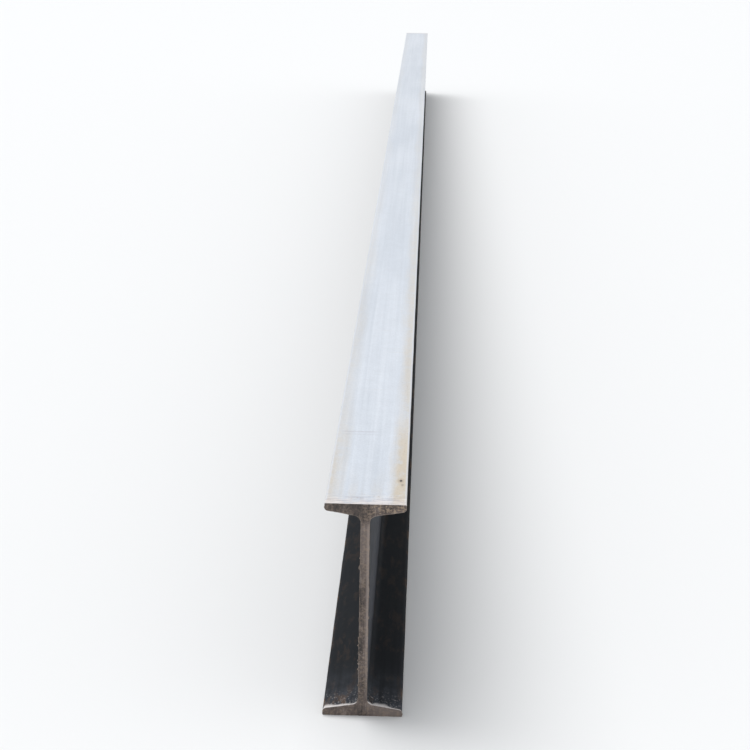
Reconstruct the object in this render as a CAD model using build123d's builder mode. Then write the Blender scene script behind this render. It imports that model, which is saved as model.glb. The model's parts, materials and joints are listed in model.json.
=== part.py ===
"""A hot-rolled steel beam: an I section with tapered flanges, one solid bar of stock.

The beam stands on its bottom flange. Its length runs along Y, its flanges are level,
and its web is upright in the YZ plane. The origin is at the middle of the underside.
All sizes are in millimetres.
"""

import os

from build123d import *

# Driving dimensions: the section's table sizes, and the length it is cut to
DEPTH = 516.0  # over both flanges
FLANGE_WIDTH = 183.0
WEB_THICKNESS = 20.3
FLANGE_THICKNESS = 23.4  # at the middle of a flange's overhang
FLANGE_SLOPE = 1 / 6  # of each flange's inner face
ROOT_RADIUS = 16.0  # where the web runs into a flange
TOE_RADIUS = 9.0  # inner corner of a flange's edge
EDGE_RADIUS = 2.0  # outer corner of a flange's edge, left by the rolls
LENGTH = 12192.0  # forty feet

# The inner face of a flange, as thicknesses at its two ends
overhang = (FLANGE_WIDTH - WEB_THICKNESS) / 2
toe_thickness = FLANGE_THICKNESS - FLANGE_SLOPE * overhang / 2
root_thickness = FLANGE_THICKNESS + FLANGE_SLOPE * overhang / 2

# The section's own plane: across the length, with its centre at half the depth
section_plane = Plane(origin=(0, 0, DEPTH / 2), x_dir=(1, 0, 0), z_dir=(0, -1, 0))
half_depth = DEPTH / 2
half_width = FLANGE_WIDTH / 2
half_web = WEB_THICKNESS / 2

with BuildPart() as beam:
    with BuildSketch(section_plane) as section:
        # One quarter with sharp corners, mirrored to the other three
        with BuildLine():
            Polyline(
                (0, 0),
                (0, half_depth),
                (half_width, half_depth),
                (half_width, half_depth - toe_thickness),
                (half_web, half_depth - root_thickness),
                (half_web, 0),
                close=True,
            )
        make_face()
        mirror(about=Plane.YZ)
        mirror(about=Plane.XZ)

        # The corners are rounded as the rolls leave them
        corners = section.vertices()
        inner_corners = corners.group_by(lambda corner: abs(corner.X))[0]
        edge_corners = corners.group_by(lambda corner: abs(corner.X))[-1]
        toe_corners = edge_corners.filter_by(
            lambda corner: abs(corner.Y) < half_depth - toe_thickness / 2
        )
        outer_corners = edge_corners.filter_by(
            lambda corner: abs(corner.Y) > half_depth - toe_thickness / 2
        )
        fillet(inner_corners, ROOT_RADIUS)
        fillet(toe_corners, TOE_RADIUS)
        fillet(outer_corners, EDGE_RADIUS)
    extrude(amount=LENGTH / 2, both=True)

beam.part.label = "rolled_beam"

os.makedirs("parts", exist_ok=True)
export_step(beam.part, "parts/rolled_beam.step")

area = section.sketch.area
mass_per_metre = area * 7.85e-3
print(f"section {area:.0f} mm2, {mass_per_metre:.1f} kg/m")
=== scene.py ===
"""A hot-rolled steel beam with tapered flanges, standing on a pale studio floor.

The beam is one piece of stock, and so is its mesh: a skin carried along the length from the
rolled section, and a relief surface inside the section's outline at each cut end. Skin and ends
share the points of the cut edge, so the mesh is closed. Lengths are in metres. +Y runs along
the beam, +X across its flanges, and +Z is up.
"""

import itertools
import json
import logging
import math
from dataclasses import dataclass, field
from enum import Enum, IntEnum
from typing import Any

import bpy
import numpy as np
from mathutils import Matrix, Vector


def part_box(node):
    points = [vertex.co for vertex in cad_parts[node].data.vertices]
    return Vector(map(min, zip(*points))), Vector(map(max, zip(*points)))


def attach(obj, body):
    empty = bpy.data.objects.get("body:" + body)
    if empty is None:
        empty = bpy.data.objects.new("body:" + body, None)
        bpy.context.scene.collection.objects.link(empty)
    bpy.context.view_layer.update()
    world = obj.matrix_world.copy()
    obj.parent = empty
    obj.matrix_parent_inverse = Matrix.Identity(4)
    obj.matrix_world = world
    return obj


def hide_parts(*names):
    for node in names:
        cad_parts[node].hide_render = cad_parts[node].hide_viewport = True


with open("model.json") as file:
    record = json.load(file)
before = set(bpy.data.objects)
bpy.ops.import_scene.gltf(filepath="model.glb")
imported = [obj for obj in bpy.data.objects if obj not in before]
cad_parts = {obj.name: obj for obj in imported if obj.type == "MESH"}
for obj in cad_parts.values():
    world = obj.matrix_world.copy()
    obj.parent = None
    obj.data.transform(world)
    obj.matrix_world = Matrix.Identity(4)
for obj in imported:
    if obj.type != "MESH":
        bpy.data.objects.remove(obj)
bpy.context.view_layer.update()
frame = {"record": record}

Span = tuple[float, float]
Triple = tuple[float, float, float]
Colour = Triple
Paint = Colour | bpy.types.NodeSocket
log = logging.getLogger("steel_beam")

BEAM_NODE = "rolled_beam"
MM = 0.001
NANOMETRE = 1e-9


# Curves and noise, as whole arrays


def line(start: Span, end: Span, steps: int) -> np.ndarray:
    """Evenly spaced points from start to end: start plus a share of the way between them.

    Args:
        start: First point, as (x, z).
        end: Last point, as (x, z).
        steps: How many equal steps there are between them.

    Returns:
        The points as a (steps + 1, 2) array.
    """
    return np.linspace(start, end, steps + 1)


def arc(centre: Span, radius: float, turn: Span, steps: int) -> np.ndarray:
    """Points on a circle: the centre plus the radius times the cosine and sine of each angle.

    Args:
        centre: Middle of the circle, as (x, z).
        radius: Radius of the circle.
        turn: First and last angle in radians, measured from +x towards +z.
        steps: How many equal steps there are between them.

    Returns:
        The points as a (steps + 1, 2) array.
    """
    angles = np.linspace(*turn, steps + 1)
    return np.array(centre) + radius * np.column_stack((np.cos(angles), np.sin(angles)))


def joined(*curves: np.ndarray) -> np.ndarray:
    """Curves end to end, with each point that two of them share kept once.

    Args:
        curves: The curves in order, each starting where the one before it ends.

    Returns:
        All their points, as an (n, 2) array.
    """
    return np.concatenate([curves[0], *(curve[1:] for curve in curves[1:])])


def smooth_step(value: np.ndarray, low: float, high: float) -> np.ndarray:
    """0 below low, 1 above high, and three t squared less two t cubed in between.

    Args:
        value: The numbers to judge.
        low: Where the rise starts.
        high: Where it ends.

    Returns:
        The height of the rise at each number.
    """
    share = np.clip((value - low) / (high - low), 0.0, 1.0)
    return share * share * (3 - 2 * share)


def lattice_value(cells: np.ndarray, seed: int) -> np.ndarray:
    """A repeatable random number for each whole-numbered place.

    The three whole numbers are each multiplied by a large odd number and folded together, and
    the result is stirred by folding its high half onto its low half and multiplying again.

    Args:
        cells: Places as an (n, 3) array of whole numbers.
        seed: Chooses one field of numbers out of many.

    Returns:
        An (n,) array of numbers from -1 to 1.
    """
    odd = np.array([73856093, 19349663, 83492791], dtype=np.int64)
    folded = np.bitwise_xor.reduce(cells * odd, axis=1) ^ np.int64(seed * 2654435761)
    mixed = folded.astype(np.uint64)
    for factor in (0xFF51AFD7ED558CCD, 0xC4CEB9FE1A85EC53):
        mixed = (mixed ^ (mixed >> np.uint64(33))) * np.uint64(factor)
    mixed ^= mixed >> np.uint64(33)
    return (mixed >> np.uint64(40)).astype(float) / 2**23 - 1


def noise(points: np.ndarray, size: float | Triple, seed: int) -> np.ndarray:
    """Smooth noise from -1 to 1.

    Each corner of a lattice of boxes holds a random number. A point takes the mean of its own
    box's eight corners, each weighted by three t squared less two t cubed along every axis.

    Args:
        points: Places as an (n, 3) array.
        size: Side of a lattice box, or its three sides.
        seed: Chooses one field of noise out of many.

    Returns:
        The noise at each point, as an (n,) array.
    """
    scaled = points / np.array(size)
    cells = np.floor(scaled).astype(np.int64)
    part = scaled - cells
    weight = part * part * (3 - 2 * part)
    total = np.zeros(len(points))
    for corner in itertools.product((0, 1), repeat=3):
        share = np.prod(np.where(corner, weight, 1 - weight), axis=1)
        total += share * lattice_value(cells + np.array(corner), seed)
    return total


def rough_noise(points: np.ndarray, size: float, seed: int, layers: int = 3) -> np.ndarray:
    """Noise with finer noise on it: each layer is half as wide and 0.55 times as strong.

    Args:
        points: Places as an (n, 3) array.
        size: Side of the coarsest layer's lattice box.
        seed: Chooses one field of noise out of many.
        layers: How many layers there are.

    Returns:
        The noise at each point, as an (n,) array.
    """
    return sum(0.55**k * noise(points, size / 2**k, seed + k) for k in range(layers))


# The rolled section


FINE = 4  # fine steps in each coarse one, beside a cut end
BEAD_LIMIT = 3.2 * MM


@dataclass(frozen=True)
class Steps:
    """How many fine steps each stretch of the outline has: FINE to a coarse step.

    Attributes:
        edge: Round a flange's outer edge.
        face: Across a flange's outer face.
        tip: Down a flange's tip.
        toe: Round a flange's inner edge.
        slope: Along a flange's inner face.
        root: Round the root of the web.
        across: Through the web.
        down: Down the web.
    """

    edge: int = 3 * FINE
    face: int = 40 * FINE
    tip: int = 2 * FINE
    toe: int = 5 * FINE
    slope: int = 10 * FINE
    root: int = 7 * FINE
    across: int = 2 * FINE
    down: int = 40 * FINE


@dataclass(frozen=True)
class SectionGrid:
    """A section filled with four-sided faces.

    Attributes:
        points: Every point of the section, as an (n, 2) array of x and z.
        faces: Corner numbers of each face, as an (m, 4) array.
        rim: Point numbers once round the outline, clockwise as seen from -Y.
    """

    points: np.ndarray
    faces: np.ndarray
    rim: np.ndarray


@dataclass(frozen=True)
class RolledSection:
    """The beam's section: x across the flanges, z up from the middle of the depth.

    Attributes:
        depth: Height over both flanges.
        width: Width of a flange.
        web: Thickness of the web.
        flange: Thickness of a flange at the middle of its overhang.
        slope: Rise of a flange's inner face for each unit outwards.
        root_radius: Rounding between web and flange.
        toe_radius: Rounding of a flange's inner edge.
        edge_radius: Rounding of a flange's outer edge.
        steps: How finely the outline is divided.
    """

    depth: float
    width: float
    web: float
    flange: float = 23.4 * MM
    slope: float = 1 / 6
    root_radius: float = 16 * MM
    toe_radius: float = 9 * MM
    edge_radius: float = 2 * MM
    steps: Steps = Steps()

    def outer_curve(self) -> np.ndarray:
        """The top flange's outer face: a quarter circle, a straight run and a quarter circle.

        Returns:
            Its points from left to right, as an (n, 2) array.
        """
        out, up, r = self.width / 2, self.depth / 2, self.edge_radius
        return joined(
            arc((-out + r, up - r), r, (math.pi, math.pi / 2), self.steps.edge),
            line((-out + r, up), (out - r, up), self.steps.face),
            arc((out - r, up - r), r, (math.pi / 2, 0.0), self.steps.edge),
        )

    def inner_curve(self) -> np.ndarray:
        """The top flange's underside from left tip to right tip, across the root of the web.

        Going outwards from the web it is the root's arc, the sloping face and the toe's arc. The
        face's line rises by the slope from its thickness at the web, and each arc's centre is one
        radius off that line and one radius off the web or the tip.

        Returns:
            Its points, as many as the outer curve's.
        """
        out, half_web, lean = self.width / 2, self.web / 2, math.atan(self.slope)
        stretch = math.sqrt(1 + self.slope**2)
        root_line = self.depth / 2 - self.flange - self.slope * (out - half_web) / 2
        root_at = (
            half_web + self.root_radius,
            root_line + self.root_radius * (self.slope - stretch),
        )
        toe_x = out - self.toe_radius
        toe_at = (toe_x, root_line + self.slope * (toe_x - half_web) + self.toe_radius * stretch)
        root = arc(root_at, self.root_radius, (math.pi, math.pi / 2 + lean), self.steps.root)
        toe = arc(toe_at, self.toe_radius, (lean - math.pi / 2, 0.0), self.steps.toe)
        right = joined(root, line(root[-1], toe[0], self.steps.slope), toe)
        left = right[::-1] * (-1, 1)
        across = line(left[-1], right[0], self.steps.across)
        return joined(left, across, right)

    def grid(self) -> SectionGrid:
        """Fills the section with three patches and welds them.

        Each flange is ruled between its outer and inner curve: a point is the outer curve's plus a
        share of the way to the inner curve's point of the same number. The web is ruled between
        the two flanges' roots.

        Returns:
            The welded section.
        """
        outer, inner = self.outer_curve(), self.inner_curve()
        through = np.linspace(0, 1, self.steps.tip + 1)[:, None, None]
        top = outer + through * (inner - outer)
        bottom = top[::-1] * (1, -1)
        side = self.steps.toe + self.steps.slope + self.steps.root
        root = slice(side, side + self.steps.across + 1)
        down = np.linspace(0, 1, self.steps.down + 1)[:, None, None]
        web = inner[root] + down * (bottom[0, root] - inner[root])
        rim = joined(
            outer,
            top[:, -1],
            inner[root.stop - 1:][::-1],
            web[:, -1],
            bottom[0, root.stop - 1:],
            bottom[:, -1],
            bottom[-1, ::-1],
            bottom[::-1, 0],
            bottom[0, : side + 1],
            web[::-1, 0],
            inner[: side + 1][::-1],
            top[::-1, 0],
        )[:-1]
        return weld([top, web, bottom], rim)


def weld(patches: list[np.ndarray], rim: np.ndarray) -> SectionGrid:
    """Joins grids of points into one, with each shared point kept once.

    Args:
        patches: Grids of points, each as a (rows, columns, 2) array.
        rim: The outline's points, each of which is in a patch.

    Returns:
        The joined section, whose points are rounded to a nanometre.
    """
    starts = np.cumsum([0] + [patch.shape[0] * patch.shape[1] for patch in patches])
    quads = []
    for patch, start in zip(patches, starts):
        number = start + np.arange(patch.shape[0] * patch.shape[1]).reshape(patch.shape[:2])
        quads.append(corners(number))
    loose = np.concatenate([*(patch.reshape(-1, 2) for patch in patches), rim])
    rounded = np.round(loose / NANOMETRE).astype(np.int64)
    kept, place = np.unique(rounded, axis=0, return_inverse=True)
    place = place.reshape(-1)
    return SectionGrid(kept * NANOMETRE, place[np.concatenate(quads)], place[starts[-1]:])


def corners(number: np.ndarray) -> np.ndarray:
    """The four corner numbers of each cell of a grid of point numbers.

    Args:
        number: The points' numbers, as a (rows, columns) array.

    Returns:
        The corners going round each cell, as an (m, 4) array.
    """
    cells = (number[:-1, :-1], number[:-1, 1:], number[1:, 1:], number[1:, :-1])
    return np.stack(cells, axis=-1).reshape(-1, 4)


# The beam's mesh


@dataclass(frozen=True)
class MapLayout:
    """Where the beam's surfaces lie on its texture map, in shares of the map's side.

    The cut faces lie on their sides in a strip along the bottom. Above it is the skin, unrolled
    from left to right, with the near end at the bottom. The skin beside each cut has more of the
    map than its length calls for, because that is where its detail is.

    Attributes:
        border: Free space along the sides of each area.
        cut_strip: Height of the cut faces' strip.
        zone: Length of the skin beside each cut that has more of the map, in metres.
        zone_strip: Height of the area of each such zone.
    """

    border: float = 0.003
    cut_strip: float = 0.132
    zone: float = 0.40
    zone_strip: float = 0.150

    def of_cut(self, points: np.ndarray, section: RolledSection, end: "End") -> np.ndarray:
        """The places of a cut face's points, whose height becomes the distance from left to right.

        Args:
            points: Places on the section, as an (n, 2) array.
            section: The section.
            end: Which cut end it is.

        Returns:
            The points' places on the map, as an (n, 2) array.
        """
        up = points[:, 1] / section.depth + 0.5
        across = points[:, 0] / section.width + 0.5
        left = 0.0 if end is End.NEAR else 0.5
        along = left + self.border + up * (0.5 - 2 * self.border)
        return np.column_stack((along, self.border + across * (self.cut_strip - 2 * self.border)))

    def of_skin(self, way: np.ndarray, y: np.ndarray, length: float) -> np.ndarray:
        """The places of points of the skin.

        Args:
            way: Each point's way round the outline, from 0 to 1.
            y: Each point's place along the beam.
            length: The beam's length.

        Returns:
            The points' places on the map, as an (n, 2) array.
        """
        half = length / 2
        stations = (-half, self.zone - half, half - self.zone, half)
        top = 1 - self.border
        heights = (self.cut_strip, self.cut_strip + self.zone_strip, top - self.zone_strip, top)
        across = self.border + way * (1 - 2 * self.border)
        return np.column_stack((across, np.interp(y, stations, heights)))


class End(Enum):
    """A cut end, by the direction it faces along Y."""

    NEAR = -1
    FAR = 1


class Block(IntEnum):
    """The blocks that the mesh's points come in, from the near end to the far one."""

    NEAR_FACE = 0
    NEAR_SKIN = 1
    MIDDLE = 2
    FAR_SKIN = 3
    FAR_FACE = 4


@dataclass(frozen=True)
class Dross:
    """A row of beads of slag that the cut left on one edge.

    Attributes:
        end: The cut end that they are on.
        side: -1 for the web's left edge, 1 for its right edge.
        height: Lowest and highest bead, up from the floor.
        count: How many beads there are.
        size: Radius of the smallest and largest bead.
    """

    end: End
    side: int
    height: Span
    count: int
    size: Span = (1.6 * MM, 2.8 * MM)


@dataclass
class RolledBeam:
    """The beam's mesh and what it is made of.

    Attributes:
        section: The rolled section.
        length: Length over the two cut ends.
        dross: Rows of beads on the cut edges.
        wave: How far the skin lies off a true plane.
        long_wave: Length of its slow waves along each axis.
        short_wave: Length of its short waves along each axis.
        burr: Usual height of the ragged lip round a cut end.
        crest: How far behind the cut that lip is highest.
        crest_spread: How far from its crest the lip has sunk to about a third.
        lean: How far behind the cut the skin follows the cut face's relief.
        rim_drop: How far the cut face's outline lies inside the skin.
        cut_depth: Mean depth of the cut face below its plane.
        groove_depth: Depth of the grooves in it.
        groove_pitch: Distance from groove to groove.
        lump_depth: Depth of the lumps in it.
        sharp_angle: Turn between two faces, in degrees, from which their edge is sharp.
        spray_highlight_on_top: How far the cut's bright spatter and painted highlight reach along the top
            face.
        spray_highlight_on_ledge: How far they reach along the bottom flange's inner faces.
        seed: Chooses the beam's own noise.
        cut_rings: How far behind a cut the fine rings of skin stand.
        ring_growth: How much longer each gap between coarse rings is than the one before it.
        ring_gap: The widest gap between them.
        layout: Where each surface lies on the texture map.
        grid: The section, filled.
        outline: The section's outline, as an (n, 2) array.
        outward: The outward direction at each point of the outline.
        way: Each outline point's distance from the first, along the outline.
        round_trip: The outline's whole length.
    """

    section: RolledSection
    length: float
    dross: tuple[Dross, ...] = (
        Dross(End.NEAR, -1, (0.055, 0.200), 9),
        Dross(End.NEAR, 1, (0.240, 0.262), 2),
        Dross(End.NEAR, -1, (0.330, 0.440), 4),
        Dross(End.FAR, 1, (0.080, 0.300), 7),
    )
    wave: float = 0.22 * MM
    long_wave: Triple = (0.16, 0.85, 0.30)
    short_wave: Triple = (0.05, 0.11, 0.05)
    burr: float = 0.55 * MM
    crest: float = 0.9 * MM
    crest_spread: float = 1.5 * MM
    lean: float = 1.2 * MM
    rim_drop: float = 0.45 * MM
    cut_depth: float = 0.30 * MM
    groove_depth: float = 0.12 * MM
    groove_pitch: float = 7.5 * MM
    lump_depth: float = 0.22 * MM
    sharp_angle: float = 42.0
    spray_highlight_on_top: float = 4.2 * MM
    spray_highlight_on_ledge: float = 21.0 * MM
    seed: int = 11
    cut_rings: tuple[float, ...] = tuple(
        d * MM for d in (0.35, 0.9, 1.6, 2.5, 3.8, 5.5, 8.0, 12.0, 19.0, 30.0)
    )
    ring_growth: float = 1.28
    ring_gap: float = 0.062
    layout: MapLayout = MapLayout()
    grid: SectionGrid = field(init=False, repr=False)
    outline: np.ndarray = field(init=False, repr=False)
    outward: np.ndarray = field(init=False, repr=False)
    way: np.ndarray = field(init=False, repr=False)
    round_trip: float = field(init=False)

    def __post_init__(self) -> None:
        """Fills the section and measures its outline.

        The outward direction at a point is the line from its one neighbour to its other, turned
        a quarter to the left.
        """
        self.grid = self.section.grid()
        self.outline = self.grid.points[self.grid.rim]
        along = np.roll(self.outline, -1, axis=0) - np.roll(self.outline, 1, axis=0)
        along /= np.linalg.norm(along, axis=1)[:, None]
        self.outward = np.column_stack((-along[:, 1], along[:, 0]))
        steps = np.linalg.norm(np.diff(self.outline, axis=0, append=self.outline[:1]), axis=1)
        self.round_trip = steps.sum()
        self.way = np.concatenate(([0.0], np.cumsum(steps)[:-1]))

    def middle_stations(self) -> np.ndarray:
        """Where the coarse rings stand along Y, from near to far.

        Gaps grow by a constant factor from the last fine ring until they reach the widest gap,
        and the stretch between is divided evenly.

        Returns:
            The stations.
        """
        first = 0.4 * self.cut_rings[-1]
        steps = math.ceil(math.log(self.ring_gap / first, self.ring_growth))
        ends = self.cut_rings[-1] + np.cumsum(first * self.ring_growth ** np.arange(steps))
        stretch = self.length - 2 * ends[-1]
        middle = ends[-1] + np.linspace(0, stretch, math.ceil(stretch / self.ring_gap) + 1)
        from_near = np.concatenate((ends[:-1], middle, self.length - ends[:-1][::-1]))
        return from_near - self.length / 2

    def skin_offset(self, points: np.ndarray) -> np.ndarray:
        """How far the rolled skin stands off the true section at each point.

        Long slow noise, stretched along the rolling direction, plus shorter noise that is stronger
        on the flange tips, which the rolls hold least.

        Args:
            points: Places on the skin, as an (n, 3) array.

        Returns:
            The distance at each point, which is negative where the skin lies deeper.
        """
        half_width = self.section.width / 2
        tip = smooth_step(np.abs(points[:, 0]), 0.92 * half_width, half_width)
        slow = noise(points, self.long_wave, self.seed)
        short = noise(points, self.short_wave, self.seed + 5)
        return self.wave * (slow + (0.3 + 1.4 * tip) * short)

    def beads(self, end: End) -> np.ndarray:
        """Height that the beads add at the cut edge.

        Each is a bell shape: its size times e to the power of minus the square of the distance
        from it over four fifths of its size. Where several meet, they stop at the tallest bead's
        size and a little more.

        Args:
            end: Which cut end it is.

        Returns:
            The height at each point of the outline.
        """
        heights = np.zeros(len(self.outline))
        pick = np.random.default_rng(self.seed + end.value)
        for row in self.dross:
            for _ in range(row.count if row.end is end else 0):
                up = pick.uniform(*row.height) - self.section.depth / 2
                size = pick.uniform(*row.size)
                gap = np.linalg.norm(self.outline - (row.side * self.section.web / 2, up), axis=1)
                heights += size * np.exp(-((gap / (0.8 * size)) ** 2))
        return np.minimum(heights, BEAD_LIMIT)

    def lip(self, end: End) -> np.ndarray:
        """Height of the ragged lip round a cut end.

        A quarter of the usual height everywhere, plus what rough noise adds where it is above
        zero, more in some stretches than in others, plus the beads.

        Args:
            end: Which cut end it is.

        Returns:
            The height at each point of the outline.
        """
        ring = np.column_stack((self.outline, np.full(len(self.outline), end.value * 0.5)))
        ragged = rough_noise(ring, 9 * MM, self.seed + 20)
        stretches = smooth_step(noise(ring, 45 * MM, self.seed + 30), -0.5, 0.6)
        uneven = 0.25 + np.maximum(ragged, 0) * 1.7 * (0.35 + stretches)
        return self.burr * uneven + self.beads(end)

    def relief(self, points: np.ndarray, end: End) -> np.ndarray:
        """How deep the cut face lies below its plane.

        Grooves that the cut left, upright and slightly bowed: a sine of the distance across plus
        a little of the height squared, faded in and out by noise, on top of coarse and fine noise.

        Args:
            points: Places on the section, as an (n, 2) array.
            end: Which cut end it is.

        Returns:
            The depth at each point, never below zero.
        """
        place = np.column_stack((points, np.full(len(points), end.value * 0.7)))
        bowed = points[:, 0] + 0.25 * points[:, 1] ** 2
        turns = bowed * 2 * math.pi / self.groove_pitch
        grooves = np.sin(turns + 2.5 * noise(place, 0.03, self.seed + 40))
        faded = smooth_step(noise(place, 0.05, self.seed + 41), -0.6, 0.5)
        lumps = rough_noise(place, 14 * MM, self.seed + 42, layers=4)
        uneven = self.groove_depth * grooves * faded + self.lump_depth * lumps
        return np.maximum(0.0, self.cut_depth + uneven)

    def cut_zone(self, end: End) -> tuple[np.ndarray, np.ndarray]:
        """The filled cut face and the fine rings of skin beside it.

        At a distance d behind the cut, the skin stands out by the lip's height times a bell shape
        centred a little behind the edge, and leans forward with the face's relief.

        Args:
            end: Which cut end it is.

        Returns:
            The face's points, and the rings' points as a (rings, round the outline, 3) array.
        """
        plane = end.value * self.length / 2
        deep = self.relief(self.grid.points, end)
        lip = self.lip(end)
        behind = np.array(self.cut_rings)[:, None]
        bell = np.exp(-(((behind - self.crest) / self.crest_spread) ** 2))
        skin = self.at_stations(np.tile(plane - end.value * behind, (1, len(lip))), 1)
        skin[:, :, (0, 2)] += (bell * lip)[:, :, None] * self.outward
        forward = np.exp(-((behind / self.lean) ** 2)) * (0.5 * lip - deep[self.grid.rim])
        skin[:, :, 1] += end.value * forward
        across, up = self.grid.points.T
        face = np.column_stack((across, plane - end.value * deep, up + self.section.depth / 2))
        face[self.grid.rim[:, None], (0, 2)] += (0.35 * lip - self.rim_drop)[:, None] * self.outward
        face[self.grid.rim, 1] += end.value * 0.35 * lip
        return face, skin

    def at_stations(self, y: np.ndarray, step: int) -> np.ndarray:
        """Rings of skin: the outline at each station, moved outwards by the skin's offset.

        Args:
            y: Place along the beam of every point, as a (rings, points in a ring) array.
            step: 1 for every point of the outline, or FINE for the coarse ones.

        Returns:
            The points as a (rings, points in a ring, 3) array.
        """
        ring, out = self.outline[::step], self.outward[::step]
        flat = np.empty((*y.shape, 3))
        flat[..., 0], flat[..., 1], flat[..., 2] = ring[:, 0], y, ring[:, 1]
        offset = self.skin_offset(flat.reshape(-1, 3)).reshape(y.shape)
        resting = smooth_step(ring[:, 1], -self.section.depth / 2, -self.section.depth / 2 + 4 * MM)
        offset = np.where(offset < 0, offset, offset * resting)
        flat[..., 0] += offset * out[:, 0]
        flat[..., 2] += offset * out[:, 1] + self.section.depth / 2
        return flat

    def faces_between(self, first: np.ndarray, second: np.ndarray) -> np.ndarray:
        """Four-sided faces between two closed rings of points."""
        return np.column_stack((first, np.roll(first, -1), np.roll(second, -1), second))

    def stitch(self, coarse: np.ndarray, fine: np.ndarray) -> np.ndarray:
        """Triangles between a coarse ring and a fine one with FINE points for each of its own.

        The first half of the fine points fan out from a coarse step's start, the second half
        from its end, and one triangle fills the gap between the two fans.

        Args:
            coarse: The coarse ring's point numbers.
            fine: The fine ring's point numbers.

        Returns:
            The corner numbers of each triangle, as an (m, 3) array.
        """
        ahead = np.roll(coarse, -1)
        own, following = (ring.reshape(-1, FINE) for ring in (fine, np.roll(fine, -FINE)))
        rows = np.column_stack((own, following[:, :1]))
        half = FINE // 2
        fans = [
            np.column_stack((coarse if k < half else ahead, rows[:, k + 1], rows[:, k]))
            for k in range(FINE)
        ]
        return np.concatenate([*fans, np.column_stack((coarse, ahead, rows[:, half]))])

    def faces(
        self, blocks: list[np.ndarray], starts: np.ndarray
    ) -> tuple[list[np.ndarray], list[np.ndarray]]:
        """The mesh's faces: from ring to ring, between fine and coarse rings, and on the cuts.

        Args:
            blocks: The blocks of points.
            starts: The number of the first point of each block, and of the end.

        Returns:
            The skin's faces and the near and far cut face's, as arrays of corner numbers.
        """
        near_rings, rings, far_rings = (
            starts[block] + np.arange(blocks[block].size // 3).reshape(blocks[block].shape[:2])
            for block in (Block.NEAR_SKIN, Block.MIDDLE, Block.FAR_SKIN)
        )
        skin = [self.faces_between(self.grid.rim, near_rings[0])]
        skin += [
            self.faces_between(first, second)
            for group in (near_rings, rings, far_rings)
            for first, second in zip(group[:-1], group[1:])
        ]
        skin.append(self.faces_between(far_rings[-1], starts[Block.FAR_FACE] + self.grid.rim))
        skin.append(self.stitch(rings[0], near_rings[-1])[:, ::-1])
        skin.append(self.stitch(rings[-1], far_rings[0]))
        return skin, [self.grid.faces[:, ::-1], starts[Block.FAR_FACE] + self.grid.faces]

    def build(self) -> bpy.types.Object:
        """Makes the closed mesh: near face, near rings, coarse rings, far rings, far face.

        Returns:
            The beam's object, at the origin, with rolled skin in slot 0 and cut faces in slot 1.
        """
        stations = self.middle_stations()[:, None]
        middle = self.at_stations(np.tile(stations, (1, len(self.outline[::FINE]))), FINE)
        near_face, near_skin = self.cut_zone(End.NEAR)
        far_face, far_skin = self.cut_zone(End.FAR)
        blocks = [near_face, near_skin, middle, far_skin[::-1], far_face]
        starts = np.cumsum([0] + [block.size // 3 for block in blocks])
        points = np.concatenate([block.reshape(-1, 3) for block in blocks])
        points[:, 2] = np.maximum(points[:, 2], 0.0)
        skin, cuts = self.faces(blocks, starts)

        mesh = bpy.data.meshes.new("steel_beam")
        mesh.from_pydata(points, [], [face for part in (*skin, *cuts) for face in part.tolist()])
        slots = np.zeros(len(mesh.polygons), np.int32)
        slots[sum(len(part) for part in skin):] = 1
        mesh.polygons.foreach_set("material_index", slots)
        mesh.update()
        self.mark_cuts(mesh, starts)
        self.lay_out(mesh, points, starts, skin, cuts)
        beam = bpy.data.objects.new("steel_beam", mesh)
        bpy.context.scene.collection.objects.link(beam)
        mesh.shade_smooth()
        mesh.set_sharp_from_angle(angle=math.radians(self.sharp_angle))
        return beam

    def lay_out(
        self,
        mesh: bpy.types.Mesh,
        points: np.ndarray,
        starts: np.ndarray,
        skin: list[np.ndarray],
        cuts: list[np.ndarray],
    ) -> None:
        """Gives the mesh its texture map.

        Where a face of the skin closes the trip round the outline, the corners at the start of
        the outline are put at its end.

        Args:
            mesh: The beam's mesh.
            points: All its points.
            starts: The number of the first point of each block of points, and of the end.
            skin: The corners of the skin's faces.
            cuts: The corners of the near and far cut face's faces.
        """
        shares = self.way / self.round_trip
        way = np.zeros(len(points))
        for block, step in ((Block.NEAR_SKIN, 1), (Block.MIDDLE, FINE), (Block.FAR_SKIN, 1)):
            ring = shares[::step]
            rings = (starts[block + 1] - starts[block]) // len(ring)
            way[starts[block] : starts[block + 1]] = np.tile(ring, rings)
        for block in (Block.NEAR_FACE, Block.FAR_FACE):
            way[starts[block] + self.grid.rim] = shares
        of_point = self.layout.of_skin(way, points[:, 1], self.length)
        places = []
        for faces in skin:
            corners_at = of_point[faces]
            across = corners_at[:, :, 0]
            closing = np.ptp(across, axis=1) > 0.5
            across[closing] = np.where(across[closing] < 0.5, 1 - self.layout.border, across[closing])
            places.append(corners_at.reshape(-1, 2))
        for end, block, faces in zip(End, (Block.NEAR_FACE, Block.FAR_FACE), cuts):
            on_cut = self.layout.of_cut(self.grid.points, self.section, end)
            places.append(on_cut[faces - starts[block]].reshape(-1, 2))
        layer = mesh.uv_layers.new(name="OFBake")
        layer.uv.foreach_set("vector", np.concatenate(places).astype(np.float32).ravel())

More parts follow.
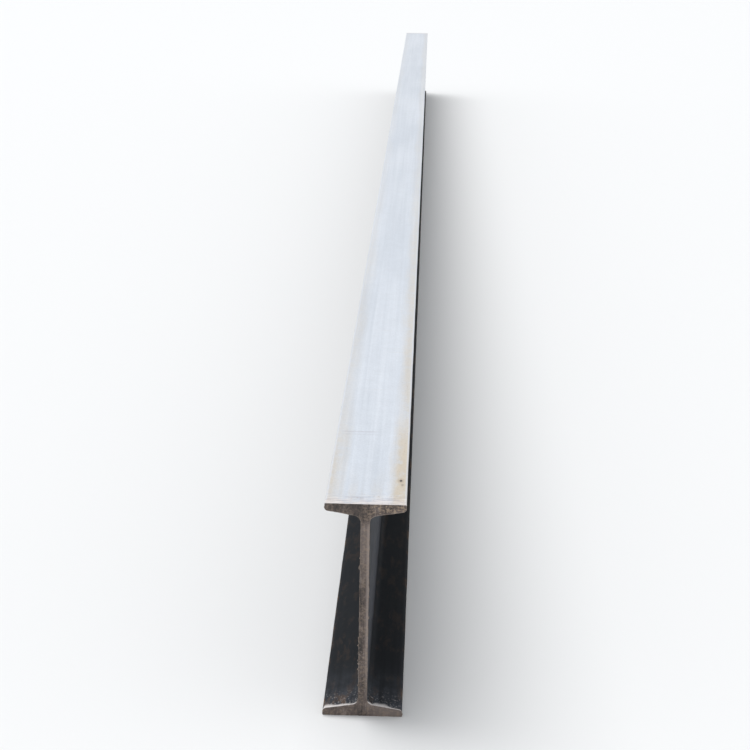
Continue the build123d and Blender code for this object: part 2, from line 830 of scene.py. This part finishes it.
    def spray_highlight_reach(self, end: End) -> np.ndarray:
        """How far the cut's bright spatter and painted highlight reach along the skin, round the outline.

        It is nothing on the web and the undersides, a few millimetres on the top face, and some
        twenty on the bottom flange's inner faces, where it settled. It thins out towards the web
        on the left and towards the tip on the right. Noise along the outline makes it ragged.

        Args:
            end: Which cut end it is.

        Returns:
            The reach at each point of the outline.
        """
        across, up = self.outline.T
        half_width = self.section.width / 2
        facing_up = smooth_step(self.outward[:, 1], 0.4, 0.95)
        from_thick = np.where(across < 0, across + half_width, across)
        settled = 1 - 0.72 * smooth_step(from_thick, 0.50 * half_width, 0.82 * half_width)
        ring = np.column_stack((self.outline, np.full(len(self.outline), end.value * 0.3)))
        ragged = np.maximum(1 + 0.7 * rough_noise(ring, 22 * MM, self.seed + 60), 0.35)
        # Bright spatter beside the cut, brightened as a painted highlight of the lit edge.
        return facing_up * np.where(up > 0, self.spray_highlight_on_top, self.spray_highlight_on_ledge * settled) * ragged

    def mark_cuts(self, mesh: bpy.types.Mesh, starts: np.ndarray) -> None:
        """Stores what the finishes need to know about the cuts, as numbers on the points.

        "edge_gap" is a cut face's distance from its own outline, and "spray" is how far the
        bright spatter and painted highlight reach from the cut at that place on the outline.

        Args:
            mesh: The beam's mesh.
            starts: The number of the first point of each block of points, and of the end.
        """
        gaps = np.linalg.norm(self.grid.points[:, None] - self.outline[None], axis=2).min(axis=1)
        edge_gap = np.zeros(starts[-1], np.float32)
        spray = np.zeros(starts[-1], np.float32)
        rings = len(self.cut_rings)
        for end, face, skin in (
            (End.NEAR, Block.NEAR_FACE, Block.NEAR_SKIN),
            (End.FAR, Block.FAR_FACE, Block.FAR_SKIN),
        ):
            reach = self.spray_highlight_reach(end)
            edge_gap[starts[face] : starts[face + 1]] = gaps
            spray[starts[face] + self.grid.rim] = reach
            spray[starts[skin] : starts[skin + 1]] = np.tile(reach, rings)
        for name, values in (("edge_gap", edge_gap), ("spray", spray)):
            mesh.attributes.new(name, "FLOAT", "POINT").data.foreach_set("value", values)


# Shader maths


class Signal:
    """A number that varies over a surface: one node's output, with the usual operators."""

    def __init__(self, shader: "Shader", socket: bpy.types.NodeSocket) -> None:
        """Wraps a socket of one shader's tree."""
        self.shader = shader
        self.socket = socket

    def math(self, operation: str, *values: "Signal | float") -> "Signal":
        """The output of one Math node that has this operation, with the values in its sockets."""
        node = self.shader.node("ShaderNodeMath", {"operation": operation}, dict(enumerate(values)))
        return Signal(self.shader, node.outputs[0])

    def __add__(self, other: "Signal | float") -> "Signal":
        """This plus the other."""
        return self.math("ADD", self, other)

    def __sub__(self, other: "Signal | float") -> "Signal":
        """This less the other."""
        return self.math("SUBTRACT", self, other)

    def __rsub__(self, other: float) -> "Signal":
        """The other less this."""
        return self.math("SUBTRACT", other, self)

    def __mul__(self, other: "Signal | float") -> "Signal":
        """This times the other."""
        return self.math("MULTIPLY", self, other)

    def __truediv__(self, other: "Signal | float") -> "Signal":
        """This divided by the other."""
        return self.math("DIVIDE", self, other)

    def __abs__(self) -> "Signal":
        """The size of this, whatever its sign."""
        return self.math("ABSOLUTE", self)

    __radd__ = __add__
    __rmul__ = __mul__

    def most(self, other: "Signal | float") -> "Signal":
        """The larger of this and the other."""
        return self.math("MAXIMUM", self, other)

    def least(self, other: "Signal | float") -> "Signal":
        """The smaller of this and the other."""
        return self.math("MINIMUM", self, other)

    def step(self, low: float, high: float) -> "Signal":
        """0 up to low, 1 from high on, and smooth in between.

        Args:
            low: Where the rise starts.
            high: Where it ends.

        Returns:
            The height of the rise.
        """
        settings = {"interpolation_type": "SMOOTHSTEP"}
        values = {"Value": self, "From Min": low, "From Max": high}
        return Signal(self.shader, self.shader.node("ShaderNodeMapRange", settings, values).outputs[0])

    def fade(self, low: float, high: float) -> "Signal":
        """1 up to low, 0 from high on: one less the step."""
        return 1 - self.step(low, high)


class Shader:
    """The node tree of a material or a world, and the few ways in which its nodes are made."""

    def __init__(
        self, owner: bpy.types.Material | bpy.types.World, coordinates: str = "Object"
    ) -> None:
        """Empties the owner's tree and puts its coordinates at hand.

        Args:
            owner: The material or world.
            coordinates: The Texture Coordinate output that places its patterns.
        """
        self.owner = owner
        owner.use_nodes = True
        self.tree = owner.node_tree
        self.tree.nodes.clear()
        self.place = self.node("ShaderNodeTexCoord").outputs[coordinates]
        split = self.node("ShaderNodeSeparateXYZ", inputs={"Vector": self.place})
        self.x, self.y, self.z = (Signal(self, socket) for socket in split.outputs)

    def node(
        self,
        kind: str,
        settings: dict[str, Any] | None = None,
        inputs: dict[str | int, Any] | None = None,
    ) -> bpy.types.Node:
        """Makes one node.

        Args:
            kind: The node's type.
            settings: The node's own settings, which are set first.
            inputs: Each socket's name or number, with the value or link that it gets.

        Returns:
            The node.
        """
        node = self.tree.nodes.new(kind)
        for name, value in (settings or {}).items():
            if name == "stops":
                self.set_stops(node.color_ramp.elements, value)
            else:
                setattr(node, name, value)
        for name, value in (inputs or {}).items():
            source = value.socket if isinstance(value, Signal) else value
            if isinstance(source, bpy.types.NodeSocket):
                self.tree.links.new(source, node.inputs[name])
            else:
                node.inputs[name].default_value = source
        return node

    def set_stops(self, elements: bpy.types.ColorRampElements, stops: dict[float, Colour]) -> None:
        """Gives a ramp a colour at each place, instead of the two that it starts with.

        Args:
            elements: The ramp's stops.
            stops: The colour at each place from 0 to 1.
        """
        elements.remove(elements[1])
        for number, (place, colour) in enumerate(stops.items()):
            element = elements.new(place) if number else elements[0]
            element.position = place
            element.color = (*colour, 1.0)

    def noise(
        self, size: Triple, detail: float = 2.0, shift: float = 0.0, rough: float = 0.5
    ) -> Signal:
        """Noise about 0.5, whose lumps are as long along each axis as size says.

        Args:
            size: Length of a lump along x, y and z.
            detail: How many finer layers there are on it.
            shift: Moves the pattern, so that two of the same size differ.
            rough: Strength of each finer layer.

        Returns:
            The noise.
        """
        settings = {"vector_type": "POINT"}
        scale = tuple(1 / length for length in size)
        values = {"Vector": self.place, "Scale": scale, "Location": (shift, shift, shift)}
        mapped = self.node("ShaderNodeMapping", settings, values).outputs[0]
        values = {"Vector": mapped, "Scale": 1.0, "Detail": detail, "Roughness": rough}
        return Signal(self, self.node("ShaderNodeTexNoise", inputs=values).outputs[0])

    def mix(
        self, share: Signal | float, below: Paint, above: Paint, blend: str = "MIX"
    ) -> bpy.types.NodeSocket:
        """A colour between two others, or laid over the first as blend says.

        Args:
            share: 0 for below, 1 for above.
            below: A colour or a colour socket.
            above: A colour or a colour socket.
            blend: The Mix node's blend type.

        Returns:
            The mixed colour's socket.
        """
        settings = {"data_type": "RGBA", "blend_type": blend}
        ends = [(*c, 1.0) if isinstance(c, tuple) else c for c in (below, above)]
        return self.node("ShaderNodeMix", settings, {0: share, 6: ends[0], 7: ends[1]}).outputs[2]

    def grey(self, value: Signal) -> bpy.types.NodeSocket:
        """A grey colour of this value."""
        return self.node("ShaderNodeCombineColor", inputs={0: value, 1: value, 2: value}).outputs[0]

    def attribute(self, name: str) -> Signal:
        """A number that the mesh holds at each point."""
        return Signal(self, self.node("ShaderNodeAttribute", {"attribute_name": name}).outputs["Fac"])

    def bump(self, height: Signal, strength: float = 1.0) -> bpy.types.NodeSocket:
        """Surface directions from a height in metres."""
        values = {"Height": height, "Distance": 1.0, "Strength": strength}
        return self.node("ShaderNodeBump", inputs=values).outputs[0]

    def finish(self, **sockets: Any) -> bpy.types.Material:
        """Ends the tree with a Principled shader.

        Args:
            sockets: The shader's inputs, with underscores for the spaces in their names.

        Returns:
            The finished material.
        """
        inputs = {name.replace("_", " "): value for name, value in sockets.items()}
        shader = self.node("ShaderNodeBsdfPrincipled", inputs=inputs)
        self.node("ShaderNodeOutputMaterial", inputs={"Surface": shader.outputs[0]})
        return self.owner


# Finishes


@dataclass(frozen=True)
class SkinPatterns:
    """The distances and patterns that the rolled skin's colours and relief share.

    Attributes:
        from_cut: Distance from the nearer cut end.
        from_near: Distance from the near end.
        streaks: Long thin streaks along the rolling direction.
        clouds: Broad soft patches.
        mottle: Blotches of a few centimetres.
        grain: The finest grain.
    """

    from_cut: Signal
    from_near: Signal
    streaks: Signal
    clouds: Signal
    mottle: Signal
    grain: Signal


@dataclass(frozen=True)
class RolledSkin:
    """Mill scale: pale on top with dust and painted sheen, painted black as shade at the foot and
    under the top flange, and thinly rusted along the edges.

    A zone is two distances: where it starts to fade, and where it has gone.

    Attributes:
        beam: The beam that it covers.
        shade_black: Black, painted as shade: at the foot and up under the top flange.
        scale_dark: Oxide on the rest of the sides.
        scale_light: Oxide where it has worn thin.
        top_sheen_dust: The top face: pale with dust, and paler still as painted sheen.
        top_sheen_dust_pale: The top face's paler streaks and clouds: dust and painted sheen.
        cream: The top face where thin rust has tinted it.
        cream_deep: Spots of that rust.
        score_and_shade: Score marks across the top face, and the painted shade between ripples beside a
            cut.
        rust: Rust on the sides.
        scorch: Scale burnt brown beside a cut.
        blush: The top face's pinkish cast beside a cut.
        bare_and_highlight: Bright steel and grit beside a cut, and the painted highlights there.
        pit_places: Pits in the top face: to the right of the middle, and behind the near end.
        pit_strengths: How plain each of them is.
        score_places: How far the scored marks are behind the near end.
        score_strengths: How plain each of them is.
        foot_zone: Heights of the foot of the sides, which is painted black as shade.
        foot_shade_reach: How far from a cut the foot's painted shade has turned fully black.
        fouled_reach: How far from a cut the sides have grit and more rust.
        scorch_zone: Distances from a cut of the burnt scale.
        blush_zone: Distances from a cut of the pinkish cast.
        crumpled_zone: Distances from a cut of the ripples, painted as highlights and shade.
        near_zone: Distances from the near end of a light tint all across the top face.
        corner_zone: Distances from the near end of the densest tint along the edges.
        front_zone: Distances from the near end of the denser tint along the edges.
        speck_row: Where behind the near end a row of specks crosses the top face.
        speck_zone: Distances from that row of its specks.
    """

    beam: RolledBeam
    shade_black: Colour = (0.013, 0.015, 0.018)
    scale_dark: Colour = (0.028, 0.031, 0.038)
    scale_light: Colour = (0.076, 0.083, 0.098)
    top_sheen_dust: Colour = (0.590, 0.630, 0.692)
    top_sheen_dust_pale: Colour = (0.655, 0.690, 0.748)
    cream: Colour = (0.580, 0.512, 0.420)
    cream_deep: Colour = (0.360, 0.265, 0.180)
    score_and_shade: Colour = (0.400, 0.380, 0.420)
    rust: Colour = (0.150, 0.094, 0.060)
    scorch: Colour = (0.270, 0.215, 0.175)
    blush: Colour = (0.640, 0.575, 0.550)
    bare_and_highlight: Colour = (0.760, 0.715, 0.700)
    pit_places: tuple[Span, ...] = ((0.076, 0.165), (0.080, 0.136))
    pit_strengths: tuple[float, ...] = (0.90, 0.30)
    score_places: tuple[float, ...] = (0.515, 0.537)
    score_strengths: tuple[float, ...] = (0.16, 0.34)
    foot_zone: Span = (0.040, 0.085)
    foot_shade_reach: float = 0.26
    fouled_reach: float = 0.11
    scorch_zone: Span = (2.0 * MM, 5.5 * MM)
    blush_zone: Span = (0.004, 0.050)
    crumpled_zone: Span = (0.015, 0.085)
    near_zone: Span = (0.02, 0.30)
    corner_zone: Span = (0.05, 0.75)
    front_zone: Span = (0.5, 5.0)
    speck_row: float = 0.040
    speck_zone: Span = (0.008, 0.040)

    def material(self) -> bpy.types.Material:
        """Builds the material, whose patterns are stretched along the rolling direction.

        Returns:
            The material.
        """
        shader = Shader(bpy.data.materials.new("mill_scale"))
        depth = self.beam.section.depth
        skin = SkinPatterns(
            from_cut=self.beam.length / 2 - abs(shader.y),
            from_near=shader.y + self.beam.length / 2,
            streaks=shader.noise((0.014, 1.60, 0.014), detail=4, shift=3.1, rough=0.6),
            clouds=shader.noise((0.22, 1.10, 0.22), detail=3, shift=7.7),
            mottle=shader.noise((0.026, 0.050, 0.026), detail=5, shift=1.3, rough=0.62),
            grain=shader.noise((0.0035, 0.007, 0.0035), detail=3, shift=5.9),
        )
        top = shader.z.step(depth - 2.2 * MM, depth - 0.6 * MM)
        sides, rusted = self.sides(shader, skin)
        upper, pit = self.top_face(shader, skin)
        colour = shader.mix(top, sides, upper)

        broad = (0.30 - 0.16 * top) * (skin.streaks - 0.5) + (0.14 - 0.08 * top) * (skin.clouds - 0.5)
        fine = 0.22 * (skin.grain - 0.5) + 0.16 * (skin.mottle - 0.5)
        colour = shader.mix(1.0, colour, shader.grey(1.0 + broad + fine), blend="MULTIPLY")
        colour = self.spray_highlighted(shader, skin, colour)

        rough = 0.66 - 0.24 * top + 0.22 * (skin.mottle - 0.5) + 0.16 * rusted * (1 - top)
        height = (0.20 * skin.mottle + 0.05 * skin.grain + 0.08 * skin.streaks - 0.6 * pit) * MM
        return shader.finish(
            Base_Color=colour,
            Roughness=rough,
            Specular_IOR_Level=0.06,
            Coat_Weight=0.30 * top,
            Coat_Roughness=0.34,
            Normal=shader.bump(height),
        )

    def sides(self, shader: Shader, skin: SkinPatterns) -> tuple[bpy.types.NodeSocket, Signal]:
        """Colours the sides and undersides: oxide, painted shade at the foot and under the top flange,
        rust, the cut's grit and burnt scale.

        Args:
            shader: The shader.
            skin: The skin's patterns.

        Returns:
            The colour, and how rusted each place is.
        """
        half_width, depth = self.beam.section.width / 2, self.beam.section.depth
        worn = (skin.mottle * 0.60 + skin.streaks * 0.40).step(0.36, 0.66)
        colour = shader.mix(worn, self.scale_dark, self.scale_light)
        foot = shader.z.fade(*self.foot_zone)
        # Painted shade: the foot goes black away from a cut, and the sides darken upwards under the top
        # flange.
        foot_shade = (0.26 + 0.70 * skin.from_cut.step(0.0, self.foot_shade_reach)) * foot
        under_flange_shade = 0.50 * shader.z.step(0.20, depth - 0.03)
        colour = shader.mix(foot_shade.most(under_flange_shade), colour, self.shade_black)

        tips = abs(shader.x).step(half_width - 6 * MM, half_width - 1 * MM)
        blotches = shader.noise((0.020, 0.080, 0.020), detail=5, shift=4.4, rough=0.65)
        beside_cut = skin.from_cut.fade(0.0, self.fouled_reach)
        rusted = (0.12 + 0.55 * tips + 0.45 * beside_cut) * blotches.step(0.50, 0.64)
        colour = shader.mix(rusted, colour, self.rust)

        grit = shader.noise((0.0045, 0.0080, 0.0045), detail=4, shift=2.9, rough=0.72).step(0.54, 0.68)
        ledge = foot * shader.z.step(0.012, 0.018)
        colour = shader.mix(0.44 * grit * ledge * beside_cut, colour, self.bare_and_highlight)
        scorched = skin.from_cut.fade(*self.scorch_zone) * (0.5 + 0.5 * skin.mottle.step(0.40, 0.60))
        return shader.mix(scorched, colour, self.scorch), rusted

    def top_face(self, shader: Shader, skin: SkinPatterns) -> tuple[bpy.types.NodeSocket, Signal]:
        """Colours the top face: dust and painted sheen, a painted edge highlight, thin rust, specks,
        scuffs, and the marks beside a cut.

        Args:
            shader: The shader.
            skin: The skin's patterns.

        Returns:
            The colour, and how deep each place lies in a pit, from 0 to 1.
        """
        half_width = self.beam.section.width / 2
        # Painted sheen: the top face is pale partly with dust and partly as painted sheen.
        bleached = (skin.streaks * 0.4 + skin.clouds * 0.6).step(0.34, 0.66)
        colour = shader.mix(bleached, self.top_sheen_dust, self.top_sheen_dust_pale)
        tint = self.rust_tint(shader, skin)
        colour = shader.mix(tint * (0.45 + 0.55 * skin.mottle.step(0.30, 0.55)), colour, self.cream)

        specks = shader.noise((0.007, 0.012, 0.007), detail=4, shift=6.1, rough=0.7).step(0.60, 0.70)
        in_row = abs(skin.from_near - self.speck_row).fade(*self.speck_zone)
        colour = shader.mix(specks * (0.08 + 0.50 * tint).most(0.65 * in_row), colour, self.cream_deep)
        crossing = shader.noise((0.50, 0.016, 0.50), detail=4, shift=9.2, rough=0.6)
        scuffs = crossing.step(0.60, 0.72) * skin.clouds.step(0.46, 0.60)
        colour = shader.mix(scuffs * 0.22, colour, self.cream)

        # A painted highlight along the top face's two edges.
        edge_highlight = abs(shader.x).step(half_width - 6 * MM, half_width - 3 * MM)
        colour = shader.mix(0.60 * edge_highlight, colour, self.top_sheen_dust_pale)
        colour = self.crumpled(shader, skin, colour)
        colour = self.scored(shader, skin, colour)
        return self.pitted(shader, skin, colour)

    def rust_tint(self, shader: Shader, skin: SkinPatterns) -> Signal:
        """How strongly thin rust tints the top face: along both edges and at the near end.

        Args:
            shader: The shader.
            skin: The skin's patterns.

        Returns:
            The strength of the tint.
        """
        half_width = self.beam.section.width / 2
        bands = shader.noise((0.040, 0.50, 0.040), detail=4, shift=2.6, rough=0.6)
        across = shader.x + (bands - 0.5) * 0.055
        right_band = across.step(0.50 * half_width, 0.90 * half_width)
        left_band = across.fade(-0.98 * half_width, -0.52 * half_width)
        near_end = skin.from_near.fade(*self.near_zone) * bands.step(0.46, 0.60)
        corner, front = skin.from_near.fade(*self.corner_zone), skin.from_near.fade(*self.front_zone)
        strength = 0.26 + 0.38 * front + 0.75 * corner
        return (strength * right_band).most(0.58 * strength * left_band).most(0.24 * near_end)

    def crumpled(
        self, shader: Shader, skin: SkinPatterns, colour: bpy.types.NodeSocket
    ) -> bpy.types.NodeSocket:
        """Adds what heat did to the top face beside a cut: a pinkish cast, then ripples painted as
        highlights and shade.

        Args:
            shader: The shader.
            skin: The skin's patterns.
            colour: The top face's colour.

        Returns:
            The colour with the cast and the ripples in it.
        """
        blushed = skin.from_cut.fade(*self.blush_zone) * skin.mottle.step(0.38, 0.56)
        colour = shader.mix(0.75 * blushed, colour, self.blush)
        # The ripples are painted as light and shade: bright highlights with darker shade between them.
        ripple_light_and_shade = shader.noise((0.050, 0.009, 0.050), detail=4, shift=8.1, rough=0.65)
        zone = skin.from_cut.fade(*self.crumpled_zone)
        colour = shader.mix(0.75 * zone * ripple_light_and_shade.step(0.50, 0.58), colour, self.bare_and_highlight)
        return shader.mix(0.62 * zone * ripple_light_and_shade.fade(0.38, 0.48), colour, self.score_and_shade)

    def scored(
        self, shader: Shader, skin: SkinPatterns, colour: bpy.types.NodeSocket
    ) -> bpy.types.NodeSocket:
        """Adds two fine scored marks across the left half of the top face.

        Args:
            shader: The shader.
            skin: The skin's patterns.
            colour: The top face's colour.

        Returns:
            The colour with the marks in it.
        """
        left = shader.x.step(-0.084, -0.070) * shader.x.fade(-0.015, 0.030)
        for behind, strength in zip(self.score_places, self.score_strengths):
            mark = abs(skin.from_near - behind).fade(2 * MM, 7 * MM)
            colour = shader.mix(mark * left * strength, colour, self.score_and_shade)
        return colour

    def pitted(
        self, shader: Shader, skin: SkinPatterns, colour: bpy.types.NodeSocket
    ) -> tuple[bpy.types.NodeSocket, Signal]:
        """Adds the pits and the rust round them.

        A pit is twice as long as it is wide. The distance from it is the larger of its two parts
        plus half the smaller, which is close enough to an oval.

        Args:
            shader: The shader.
            skin: The skin's patterns.
            colour: The top face's colour.

        Returns:
            The colour with the pits in it, and how deep each place lies, from 0 to 1.
        """
        deep: Signal | float = 0.0
        for (aside, place), strength in zip(self.pit_places, self.pit_strengths):
            across, behind = abs(shader.x - aside), 0.45 * abs(skin.from_near - place)
            gap = across.most(behind) + 0.5 * across.least(behind)
            pit = strength * gap.fade(2.0 * MM, 4.5 * MM)
            colour = shader.mix(0.60 * strength * gap.fade(2 * MM, 12 * MM), colour, self.cream_deep)
            colour = shader.mix(pit, colour, self.scale_dark)
            deep = pit.most(deep)
        return colour, deep

    def spray_highlighted(
        self, shader: Shader, skin: SkinPatterns, colour: bpy.types.NodeSocket
    ) -> bpy.types.NodeSocket:
        """Adds the cut's bright spatter and painted highlight, as far as the mesh's own numbers say.

        Args:
            shader: The shader.
            skin: The skin's patterns.
            colour: The skin's colour.

        Returns:
            The colour with the spray on it.
        """
        reach = shader.attribute("spray")
        # Bright spatter beside the cut, brightened as a painted highlight of the lit edge.
        share = (skin.from_cut / reach.most(0.1 * MM)).fade(0.20, 1.0) * reach.step(0.3 * MM, 1.5 * MM)
        return shader.mix(share * (0.50 + 0.45 * skin.mottle.step(0.36, 0.52)), colour, self.bare_and_highlight)


@dataclass(frozen=True)
class CutSteel:
    """A hot-cut end: grooved, brown with heat and thin rust, brighter at its edges with bright steel
    and a painted highlight.

    Attributes:
        beam: The beam that is cut.
        dark: Hollows of the face.
        middle: Its general colour.
        light: Ridges and scraped strips.
        rust: Spots of rust.
        bare_and_highlight: Bright steel on the cut's edge, brightened as a painted highlight.
        edge_highlight_width: How far in from the outline the bright edge and its painted highlight reach.
    """

    beam: RolledBeam
    dark: Colour = (0.040, 0.032, 0.029)
    middle: Colour = (0.112, 0.086, 0.076)
    light: Colour = (0.305, 0.250, 0.225)
    rust: Colour = (0.400, 0.300, 0.215)
    bare_and_highlight: Colour = (0.420, 0.385, 0.370)
    edge_highlight_width: float = 1.2 * MM

    def material(self) -> bpy.types.Material:
        """Builds the material, whose grooves run up and down the face.

        Returns:
            The material.
        """
        shader = Shader(bpy.data.materials.new("cut_steel"))
        lumps = shader.noise((0.013, 0.013, 0.017), detail=5, shift=2.2, rough=0.66)
        patches = shader.noise((0.040, 0.040, 0.055), detail=3, shift=6.3)
        grit = shader.noise((0.0018, 0.0018, 0.0024), detail=3, shift=8.8)
        grooves = shader.noise((0.0040, 0.0040, 0.110), detail=4, shift=1.9, rough=0.65)

        tone = 0.42 * lumps + 0.38 * grooves + 0.20 * patches
        colour = shader.mix(tone.step(0.40, 0.51), self.dark, self.middle)
        colour = shader.mix(tone.step(0.52, 0.64) * 0.8, colour, self.light)
        colour = self.scraped(shader, colour, grooves)
        colour = self.rusted(shader, colour, patches)
        # Bright steel along the cut's edge, brightened as a painted highlight.
        bare_and_highlight = shader.attribute("edge_gap").fade(0.0, self.edge_highlight_width) * lumps.step(0.44, 0.58)
        colour = shader.mix(bare_and_highlight * 0.6, colour, self.bare_and_highlight)

        height = (1.0 * lumps + 0.5 * grooves + 0.15 * grit) * MM
        return shader.finish(
            Base_Color=colour,
            Metallic=0.12,
            Roughness=0.60 + 0.25 * (lumps - 0.5) - 0.15 * bare_and_highlight,
            Normal=shader.bump(height),
        )

    def scraped(
        self, shader: Shader, colour: bpy.types.NodeSocket, grooves: Signal
    ) -> bpy.types.NodeSocket:
        """Adds the broad tones: scraped strips and sparks, and a darker upper left.

        The web is a little dark, with a light strip down its right side and scrapes on its upper
        half. The foot is scraped most on the right.

        Args:
            shader: The shader.
            colour: The face's colour.
            grooves: The pattern of its grooves.

        Returns:
            The colour with the tones in it.
        """
        half_web, depth = self.beam.section.web / 2, self.beam.section.depth
        in_web = abs(shader.z - depth / 2).fade(depth / 2 - 0.060, depth / 2 - 0.038)
        strip = (shader.x + 0.10 * (grooves - 0.5) * half_web).step(0.20 * half_web, 0.70 * half_web)
        colour = shader.mix(0.18 * in_web, colour, self.dark)
        strength = 0.30 + 0.50 * shader.z.step(0.09, 0.20)
        colour = shader.mix(strength * strip * in_web, colour, self.light)

        scraped_web = in_web * shader.z.step(0.30, 0.42)
        scraped_foot = shader.z.fade(0.030, 0.060) * (0.06 + 0.42 * shader.x.step(0.0, 0.05))
        colour = shader.mix(0.384 * scraped_web + scraped_foot, colour, self.light)
        upper_left = (1 - in_web) * shader.x.fade(-0.02, 0.03) * shader.z.step(depth - 0.06, depth - 0.03)
        colour = shader.mix(0.48 * upper_left, colour, self.dark)
        sparks = shader.noise((0.0042, 0.0042, 0.0050), detail=3, shift=7.4, rough=0.6).step(0.56, 0.64)
        return shader.mix(0.75 * sparks * in_web * shader.z.fade(0.16, 0.26), colour, self.light)

    def rusted(
        self, shader: Shader, colour: bpy.types.NodeSocket, patches: Signal
    ) -> bpy.types.NodeSocket:
        """Adds spots of rust, which are densest on the right half of the top flange.

        Args:
            shader: The shader.
            colour: The face's colour.
            patches: The pattern of the patches that the spots keep to.

        Returns:
            The colour with the spots in it.
        """
        depth = self.beam.section.depth
        upper_right = shader.z.step(depth - 0.045, depth - 0.030) * shader.x.step(-0.005, 0.03)
        spots = shader.noise((0.0058, 0.0058, 0.0050), detail=4, shift=3.6, rough=0.6).step(0.47, 0.60)
        strength = 0.26 + 0.56 * upper_right
        return shader.mix(spots * strength * patches.step(0.30, 0.50), colour, self.rust)


# Studio


@dataclass(frozen=True)
class Studio:
    """A pale floor, an even soft sky and one broad lamp overhead.

    Attributes:
        floor_reach: Half the side of the floor.
        floor_colour: The floor's paint.
        sky_colour: Colour of the light from all round.
        sky: Brightness of that light at each sine of the angle above the horizon.
        lamp_strength: Strength of the overhead lamp.
        lamp_spread: How wide the lamp looks from the floor, in degrees.
        lamp_tilt: The lamp's lean from overhead, in degrees: back along +Y, and to the left.
    """

    floor_reach: float = 400.0
    floor_colour: Colour = (0.84, 0.84, 0.84)
    sky_colour: Colour = (0.95, 0.975, 1.0)
    sky: tuple[Span, ...] = ((0.0, 0.96), (0.07, 0.84), (0.26, 0.58), (1.0, 0.60))
    lamp_strength: float = 2.15
    lamp_spread: float = 50.0
    lamp_tilt: Span = (26.0, 20.0)

    def build(self) -> None:
        """Lays the floor and sets up the light.

        The lamp's direction is straight down, moved by the tangent of each angle of its lean.
        """
        self.lay_floor()
        self.hang_sky()
        lamp = bpy.data.lights.new("overhead", "SUN")
        lamp.energy = self.lamp_strength
        lamp.angle = math.radians(self.lamp_spread)
        holder = bpy.data.objects.new("overhead", lamp)
        back, left = (math.tan(math.radians(angle)) for angle in self.lamp_tilt)
        holder.rotation_mode = "QUATERNION"
        holder.rotation_quaternion = Vector((-left, back, 1.0)).to_track_quat("Z", "Y")
        bpy.context.scene.collection.objects.link(holder)

    def hang_sky(self) -> None:
        """Makes the light from all round: its brightness goes by the sine of the angle upwards."""
        world = bpy.data.worlds.new("studio")
        bpy.context.scene.world = world
        shader = Shader(world, "Generated")
        stops = {sine: tuple(bright * part for part in self.sky_colour) for sine, bright in self.sky}
        ramp = shader.node("ShaderNodeValToRGB", {"stops": stops}, {"Fac": shader.z})
        light = {"Color": ramp.outputs[0], "Strength": 1.0}
        background = shader.node("ShaderNodeBackground", inputs=light)
        shader.node("ShaderNodeOutputWorld", inputs={"Surface": background.outputs[0]})

    def lay_floor(self) -> bpy.types.Object:
        """Makes the floor: one flat square under the beam.

        Returns:
            The floor.
        """
        reach = self.floor_reach
        points = [(-reach, -reach, 0), (reach, -reach, 0), (reach, reach, 0), (-reach, reach, 0)]
        mesh = bpy.data.meshes.new("floor")
        mesh.from_pydata(points, [], [(0, 1, 2, 3)])
        floor = bpy.data.objects.new("floor", mesh)
        bpy.context.scene.collection.objects.link(floor)
        paint = Shader(bpy.data.materials.new("pale_floor"))
        mesh.materials.append(paint.finish(Base_Color=(*self.floor_colour, 1.0), Roughness=0.9))
        return floor


@dataclass(frozen=True)
class Viewpoint:
    """The camera: where it stands, what it looks at and how long its lens is.

    Attributes:
        before: Distance from the near end to the camera, along the beam.
        aside: Distance from the beam's middle plane, to the right.
        height: Height above the floor.
        aim_behind: Distance from the near end to the point looked at, on the top face.
        aim_aside: That point's distance from the middle plane, to the right.
        lean: Turn of the camera about its line of sight, in degrees.
        lens: Focal length in millimetres, on a 36 mm sensor.
    """

    before: float = 3.779
    aside: float = 0.119
    height: float = 1.871
    aim_behind: float = 1.068
    aim_aside: float = -0.013
    lean: float = 0.99
    lens: float = 86.5

    def place(self, beam: RolledBeam) -> bpy.types.Object:
        """Makes the scene's camera.

        Args:
            beam: The beam that it looks at.

        Returns:
            The camera.
        """
        data = bpy.data.cameras.new("camera")
        data.lens = self.lens
        data.clip_end = 1000.0
        camera = bpy.data.objects.new("camera", data)
        near = -beam.length / 2
        stand = Vector((self.aside, near - self.before, self.height))
        aim = Vector((self.aim_aside, near + self.aim_behind, beam.section.depth))
        level = (stand - aim).to_track_quat("Z", "Y").to_matrix().to_4x4()
        lean = Matrix.Rotation(math.radians(self.lean), 4, "Z")
        camera.matrix_world = Matrix.Translation(stand) @ level @ lean
        bpy.context.scene.collection.objects.link(camera)
        bpy.context.scene.camera = camera
        return camera


def measured_beam() -> RolledBeam:
    """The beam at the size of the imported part, with the web as thick as its two faces say.

    Returns:
        The beam.
    """
    low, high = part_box(BEAM_NODE)
    mounts = {mount["name"]: mount for mount in frame["record"]["mounts"]}
    web = mounts["web_right"]["pos_m"][0] - mounts["web_left"]["pos_m"][0]
    section = RolledSection(depth=high.z - low.z, width=high.x - low.x, web=web)
    return RolledBeam(section, length=high.y - low.y)


def main() -> None:
    """Builds the beam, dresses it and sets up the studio."""
    logging.basicConfig(level=logging.INFO, format="%(name)s: %(message)s")
    bpy.context.scene.view_settings.view_transform = "Standard"

    beam = measured_beam()
    piece = beam.build()
    piece.data.materials.append(RolledSkin(beam).material())
    piece.data.materials.append(CutSteel(beam).material())
    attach(piece, "root")
    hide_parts(BEAM_NODE)
    log.info("%s: %d points, %d faces", piece.name, len(piece.data.vertices), len(piece.data.polygons))

    Studio().build()
    Viewpoint().place(beam)


if __name__ == "__main__":
    main()
